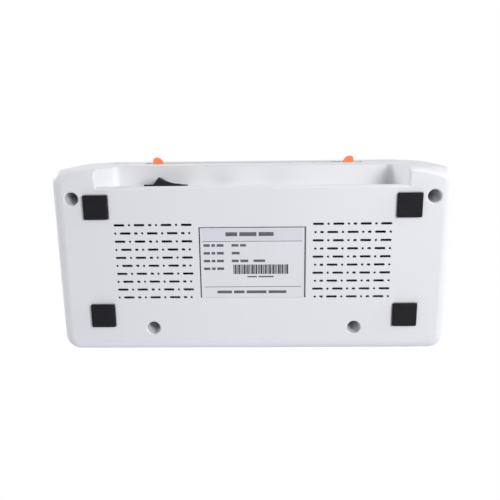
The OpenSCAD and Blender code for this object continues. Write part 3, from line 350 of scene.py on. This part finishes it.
def slab(bm, x0, x1, y0, y1, z0, z1, r=0.0, steps=5):
    """Flat block, with upright corners of radius r where r is given."""
    outline = [(x1, y1), (x0, y1), (x0, y0), (x1, y0)]
    if r:
        centres = ((x1 - r, y1 - r), (x0 + r, y1 - r), (x0 + r, y0 + r), (x1 - r, y0 + r))
        outline = []
        for quarter, (cx, cy) in enumerate(centres):
            for i in range(steps + 1):
                a = math.radians(90.0 * (quarter + i / steps))
                outline.append((cx + r * math.cos(a), cy + r * math.sin(a)))
    low = [bm.verts.new((x, y, z0)) for x, y in outline]
    high = [bm.verts.new((x, y, z1)) for x, y in outline]
    bm.faces.new(low)
    bm.faces.new(high)
    n = len(outline)
    for i in range(n):
        bm.faces.new((low[i], low[(i + 1) % n], high[(i + 1) % n], high[i]))


def lathe(bm, profile, centre, steps=32):
    """Turns (radius, height) points about an upright line through centre."""
    centre = Vector(centre)
    rings = []
    for r, h in profile:
        if not r:
            rings.append([bm.verts.new(centre + Vector((0, 0, h)))])
            continue
        ring = []
        for i in range(steps):
            a = 2.0 * math.pi * i / steps
            ring.append(bm.verts.new(centre + Vector((r * math.cos(a), r * math.sin(a), h))))
        rings.append(ring)
    for a, b in zip(rings, rings[1:]):
        for i in range(steps):
            j = (i + 1) % steps
            corners = [a[i % len(a)], a[j % len(a)], b[j % len(b)], b[i % len(b)]]
            distinct = list(dict.fromkeys(corners))
            if len(distinct) > 2:
                bm.faces.new(distinct)


def coil(bm, start, end, radius, wire, turns, steps=22, sides=8):
    """Compression spring from start to end, with a closed turn at each end."""
    start, end = Vector(start), Vector(end)
    axis = (end - start).normalized()
    length = (end - start).length
    side = axis.orthogonal().normalized()
    other = axis.cross(side)
    count = turns * steps
    closed = steps
    free = count - 2 * closed
    low, high = wire * END_TURN, length - wire * END_TURN
    rings = []
    for i in range(count + 1):
        a = 2.0 * math.pi * i / steps
        if i < closed:
            h = wire + (low - wire) * i / closed
        elif i > count - closed:
            h = length - wire - (low - wire) * (count - i) / closed
        else:
            h = low + (high - low) * (i - closed) / free
        out = side * math.cos(a) + other * math.sin(a)
        centre = start + axis * h + out * radius
        ring = []
        for k in range(sides):
            b = 2.0 * math.pi * k / sides
            ring.append(bm.verts.new(centre + (out * math.cos(b) + axis * math.sin(b)) * wire))
        rings.append(ring)
    for p, q in zip(rings, rings[1:]):
        for k in range(sides):
            bm.faces.new((p[k], p[(k + 1) % sides], q[(k + 1) % sides], q[k]))
    bm.faces.new(rings[0])
    bm.faces.new(rings[-1])


# Rating plate: a bare film with printed lines, plain dashes and a plain bar block.
# Places are shares of its width, from the left of the photograph, and of its depth, from the top.

PRINT_PROUD = 0.02 * MM
FILM_CORNER = 0.9 * MM
BAND = (0.03, 0.97, 0.02, 0.185)
LINES = (
    (0.0, 0.011, 0.0, 1.0),
    (0.989, 1.0, 0.0, 1.0),
    (0.011, 0.989, 0.0, 0.01),
    (0.03, 0.97, 0.194, 0.201),
    (0.04, 0.96, 0.842, 0.849),
)
BAR_START = 0.318
BAR_COUNT = 32
BAR_TOP, BAR_BOTTOM = 0.527, 0.662
BAR_WIDTHS = (0.0075, 0.015, 0.009, 0.0175)
BAR_GAPS = (0.005, 0.0035, 0.0065)
ROW_TOPS = (0.235, 0.345, 0.455, 0.565)
ROW_HEIGHT = 0.036
ROW_NAMES = ((0.04, 0.1), (0.115, 0.15), (0.165, 0.23))
ROW_VALUES = (
    ((0.305, 0.37), (0.385, 0.44)),
    ((0.305, 0.38),),
    ((0.305, 0.37), (0.385, 0.46), (0.51, 0.62)),
)
OTHER_ROWS = (
    (0.07, 0.125, ((0.25, 0.36), (0.38, 0.54), (0.56, 0.7))),
    (0.69, 0.71, ((0.45, 0.54), (0.555, 0.7))),
    (0.9, 0.94, ((0.16, 0.3), (0.32, 0.42), (0.44, 0.63), (0.65, 0.82))),
)


def make_label():
    low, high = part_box("rating_plate")
    width, depth = high.x - low.x, high.y - low.y

    def mark(bm, u0, u1, v0, v1, lift=1.0):
        slab(bm, high.x - u1 * width, high.x - u0 * width, high.y - v1 * depth,
             high.y - v0 * depth, low.z - PRINT_PROUD * lift, low.z)

    def film(bm):
        slab(bm, low.x, high.x, low.y, high.y, low.z, high.z, FILM_CORNER)

    def band(bm):
        mark(bm, *BAND, lift=0.5)

    def lines(bm):
        for line in LINES:
            mark(bm, *line)

    def bars(bm):
        u = BAR_START
        for i in range(BAR_COUNT):
            w = BAR_WIDTHS[(i * 3 + i // 5) % len(BAR_WIDTHS)]
            mark(bm, u, u + w, BAR_TOP, BAR_BOTTOM)
            u += w + BAR_GAPS[(i * 2 + i // 4) % len(BAR_GAPS)]

    def dashes(bm):
        rows = [(v, v + ROW_HEIGHT, ROW_NAMES) for v in ROW_TOPS]
        rows += [(v, v + ROW_HEIGHT, ends) for v, ends in zip(ROW_TOPS, ROW_VALUES)]
        for v0, v1, ends in rows + list(OTHER_ROWS):
            for u0, u1 in ends:
                mark(bm, u0, u1, v0, v1)

    piece = add_piece("rating_film", film, LABEL, "base")
    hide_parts("rating_plate")
    add_piece("rating_band", band, LABEL_BAND, "base")
    add_piece("rating_frame", lines, INK, "base")
    add_piece("rating_bars", bars, INK, "base")
    add_piece("rating_dashes", dashes, GREY_INK, "base")


make_label()


# Coil springs in the place of the plain sleeves

COIL_ANGLE = 60.0  # up to this, the facets of the wire are shaded as one surface
RELEASE_WIRE = 0.4 * MM
RELEASE_TURNS = 8
HEAD_WIRE = 0.45 * MM
HEAD_TURNS = 5


def make_release_spring(name, side):
    low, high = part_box(name + "_release_spring")
    y, z = (low.y + high.y) / 2, (low.z + high.z) / 2
    inner, outer = (low.x, high.x) if side > 0 else (high.x, low.x)
    radius = (high.z - low.z) / 2 - RELEASE_WIRE

    def spring(bm):
        coil(bm, (inner, y, z), (outer, y, z), radius, RELEASE_WIRE, RELEASE_TURNS)

    piece = add_piece(name + "_release_coil", spring, STEEL, "base")
    smooth(piece, COIL_ANGLE)
    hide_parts(name + "_release_spring")
    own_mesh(piece)


def make_head_springs():
    """Two coils in the place of the plain head springs, carried with the lid."""
    low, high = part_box("head_springs")
    outer_r = (high.y - low.y) / 2
    y = (low.y + high.y) / 2

    def springs(bm):
        for x in (low.x + outer_r, high.x - outer_r):
            coil(bm, (x, y, high.z), (x, y, low.z), outer_r - HEAD_WIRE, HEAD_WIRE, HEAD_TURNS)

    piece = add_piece("head_coils", springs, STEEL, "lid")
    smooth(piece, COIL_ANGLE)
    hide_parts("head_springs")
    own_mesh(piece)


make_release_spring("right", 1)
make_release_spring("left", -1)
make_head_springs()


# Case screws with a domed head and a cross recess

SCREW_HEAD_R = 2.8 * MM
SCREW_HEAD_H = 2.0 * MM
SCREW_DOME = 0.55 * SCREW_HEAD_H
SCREW_SHANK_R = 1.45 * MM
SCREW_TIP_R = 0.4 * MM
SCREW_POINT = 1.0 * MM
SCREW_FRONT_X = 53.75 * MM
CROSS_ARM = 1.5 * MM
CROSS_HALF = 0.33 * MM
CROSS_DEPTH = 1.2 * MM
CROSS_ABOVE = 0.5 * MM


def make_case_screws():
    low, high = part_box("case_screws")
    rear = (high.x - SCREW_HEAD_R, high.y - SCREW_HEAD_R)
    front = (SCREW_FRONT_X, low.y + SCREW_HEAD_R)
    places = [(s * x, y) for s in (-1, 1) for x, y in (rear, front)]
    length = high.z - low.z
    dome = [math.radians(a) for a in range(0, 91, 15)]
    profile = [(SCREW_HEAD_R * math.sin(a), SCREW_DOME * (1 - math.cos(a))) for a in dome]
    profile += [(SCREW_HEAD_R, SCREW_HEAD_H), (SCREW_SHANK_R, SCREW_HEAD_H),
                (SCREW_SHANK_R, length - SCREW_POINT), (SCREW_TIP_R, length), (0.0, length)]

    def screws(bm):
        for x, y in places:
            lathe(bm, profile, (x, y, low.z))

    def crosses(bm):
        z0, z1 = low.z - CROSS_ABOVE, low.z + CROSS_DEPTH
        for x, y in places:
            for along, across in ((CROSS_ARM, CROSS_HALF), (CROSS_HALF, CROSS_ARM)):
                slab(bm, x - along, x + along, y - across, y + across, z0, z1)

    piece = add_piece("cross_screws", screws, STEEL, "base")
    cutter = add_object("cross_cutter", make_mesh("cross_cutter", crosses))
    cut = piece.modifiers.new("cross", "BOOLEAN")
    cut.operation = "DIFFERENCE"
    cut.solver = "EXACT"
    cut.use_self = True
    cut.object = cutter
    bpy.context.view_layer.update()
    done = piece.evaluated_get(bpy.context.evaluated_depsgraph_get())
    made = bpy.data.meshes.new_from_object(done)
    piece.modifiers.clear()
    piece.data = made
    bpy.data.objects.remove(cutter)
    smooth(piece)
    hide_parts("case_screws")


make_case_screws()


# Feed button with a dished top and a round edge

STEM_R = 2.0 * MM
STEM_H = 1.0 * MM
FLANGE = 1.6 * MM
FLANGE_TOP = 2.5 * MM
CAP_EDGE = 0.5 * MM
CAP_DISH = 0.3 * MM
DISH_RINGS = 6
CAP_STEPS = 48


def make_feed_button():
    low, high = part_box("feed_button")
    x, y = (low.x + high.x) / 2, (low.y + high.y) / 2
    outer = (high.x - low.x) / 2
    r = outer - FLANGE
    height = high.z - low.z
    profile = [(0.0, 0.0), (STEM_R, 0.0), (STEM_R, STEM_H), (outer, STEM_H),
               (outer, FLANGE_TOP), (r, FLANGE_TOP), (r, height - CAP_EDGE)]
    for degrees in (22, 45, 68, 90):
        a = math.radians(degrees)
        profile.append((r - CAP_EDGE * (1 - math.cos(a)), height - CAP_EDGE * (1 - math.sin(a))))
    for k in range(DISH_RINGS - 1, -1, -1):
        share = k / DISH_RINGS
        profile.append(((r - CAP_EDGE) * share, height - CAP_DISH * (1 - share ** 2)))
    piece = add_piece(
        "feed_cap", lambda bm: lathe(bm, profile, (x, y, low.z), CAP_STEPS),
        BUTTON, "button")
    smooth(piece)
    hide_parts("feed_button")


make_feed_button()


# Print head: a glazed heater line over the roller, and a sealed strip of driver chips behind it

FACE_END = 2.0 * MM
HEATER_HALF = 0.8 * MM
HEATER_PROUD = 0.05 * MM
STRIP_FRONT = 5.5 * MM
STRIP_REAR = 1.3 * MM
STRIP_PROUD = 0.5 * MM
STRIP_CORNER = 1.2 * MM


def make_head_face():
    low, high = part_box("print_head")
    roller_low, roller_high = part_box("platen_roller")
    line_y = (roller_low.y + roller_high.y) / 2
    x0, x1 = low.x + FACE_END, high.x - FACE_END

    def heater(bm):
        slab(bm, x0, x1, line_y - HEATER_HALF, line_y + HEATER_HALF, low.z - HEATER_PROUD, low.z)

    def strip(bm):
        slab(bm, x0, x1, high.y - STRIP_FRONT, high.y - STRIP_REAR, low.z - STRIP_PROUD, low.z,
             STRIP_CORNER)

    add_piece("heater_line", heater, GLAZE, "head")
    add_piece("driver_strip", strip, BLACK, "head")


make_head_face()


# Stage: a floor that only shows from above, a white surround, and soft lamps above and below

FLOOR_HALF = 3.0
FLOOR_DROP = 0.1 * MM
FADE_START, FADE_END = 0.25, 1.2  # the floor turns white between these distances
WORLD_LIGHT = 0.4
LAMP_TARGET = Vector((0, 0, 0.03))
LOW_HEIGHT = 0.14  # keeps the low lamp under the floor
LAVENDER = (0.74, 0.77, 1.0)


def make_floor():
    mesh = bpy.data.meshes.new("floor")
    h = FLOOR_HALF
    mesh.from_pydata([(-h, -h, 0), (h, -h, 0), (h, h, 0), (-h, h, 0)], [], [(0, 1, 2, 3)])
    floor = add_object("floor", mesh)
    floor.location.z = -FLOOR_DROP
    material, tree, shader = start_material("floor")
    new, link = tree.nodes.new, tree.links.new
    shader.inputs["Base Color"].default_value = (0.83, 0.83, 0.835, 1.0)
    shader.inputs["Roughness"].default_value = 0.8
    output = next(n for n in tree.nodes if n.type == "OUTPUT_MATERIAL")
    place = new("ShaderNodeTexCoord")
    far = new("ShaderNodeVectorMath")
    far.operation = "LENGTH"
    link(place.outputs["Object"], far.inputs[0])
    fade = new("ShaderNodeMapRange")
    fade.interpolation_type = "SMOOTHSTEP"
    fade.inputs["From Min"].default_value = FADE_START
    fade.inputs["From Max"].default_value = FADE_END
    link(far.outputs["Value"], fade.inputs["Value"])
    white = new("ShaderNodeEmission")
    white.inputs["Strength"].default_value = 1.0
    lit = new("ShaderNodeMixShader")
    link(fade.outputs["Result"], lit.inputs[0])
    link(shader.outputs["BSDF"], lit.inputs[1])
    link(white.outputs["Emission"], lit.inputs[2])
    path = new("ShaderNodeLightPath")
    side = new("ShaderNodeNewGeometry")
    front = new("ShaderNodeMath")
    front.operation = "SUBTRACT"
    front.use_clamp = True
    link(path.outputs["Is Camera Ray"], front.inputs[0])
    link(side.outputs["Backfacing"], front.inputs[1])
    clear = new("ShaderNodeBsdfTransparent")
    mix = new("ShaderNodeMixShader")
    link(front.outputs["Value"], mix.inputs[0])
    link(clear.outputs["BSDF"], mix.inputs[1])
    link(lit.outputs["Shader"], mix.inputs[2])
    link(mix.outputs["Shader"], output.inputs["Surface"])
    mesh.materials.append(material)


def make_world():
    world = bpy.data.worlds.new("surround")
    bpy.context.scene.world = world
    world.use_nodes = True
    tree = world.node_tree
    tree.nodes.clear()
    new, link = tree.nodes.new, tree.links.new
    output = new("ShaderNodeOutputWorld")
    light = new("ShaderNodeBackground")
    light.inputs["Color"].default_value = (0.96, 0.97, 1.0, 1.0)
    light.inputs["Strength"].default_value = WORLD_LIGHT
    white = new("ShaderNodeBackground")
    white.inputs["Color"].default_value = (1.0, 1.0, 1.0, 1.0)
    white.inputs["Strength"].default_value = 1.0
    path = new("ShaderNodeLightPath")
    seen = new("ShaderNodeMath")
    seen.operation = "MAXIMUM"
    link(path.outputs["Is Camera Ray"], seen.inputs[0])
    link(path.outputs["Is Glossy Ray"], seen.inputs[1])
    shown = new("ShaderNodeMath")
    shown.operation = "MAXIMUM"
    link(seen.outputs["Value"], shown.inputs[0])
    link(path.outputs["Is Transmission Ray"], shown.inputs[1])
    mix = new("ShaderNodeMixShader")
    link(shown.outputs["Value"], mix.inputs[0])
    link(light.outputs["Background"], mix.inputs[1])
    link(white.outputs["Background"], mix.inputs[2])
    link(mix.outputs["Shader"], output.inputs["Surface"])


def make_lamp(name, place, power, size, height=None, colour=(1.0, 1.0, 1.0)):
    data = bpy.data.lights.new(name, "AREA")
    data.shape = "RECTANGLE"
    data.size = size
    data.size_y = height or size
    data.energy = power
    data.color = colour
    lamp = add_object(name, data)
    lamp.location = place
    lamp.rotation_mode = "QUATERNION"
    lamp.rotation_quaternion = (LAMP_TARGET - Vector(place)).to_track_quat("-Z", "Y")


make_floor()
make_world()
make_lamp("key_below", (-0.55, 0.35, -0.75), power=6.0, size=0.35)
make_lamp("fill_below", (0.15, -0.8, -0.3), power=1.6, size=0.5, colour=LAVENDER)
make_lamp("left_side", (0.88, 0.38, 0.28), power=4.8, size=0.4)
make_lamp("side_below", (-0.9, 0.3, -0.1), power=2.1, size=0.4, height=LOW_HEIGHT)
make_lamp("key_above", (-0.6, -0.7, 0.9), power=6.0, size=0.8)
make_lamp("fill_above", (0.9, 0.3, 0.7), power=1.8, size=0.8)

bpy.context.scene.view_settings.view_transform = "Standard"

bpy.context.view_layer.update()
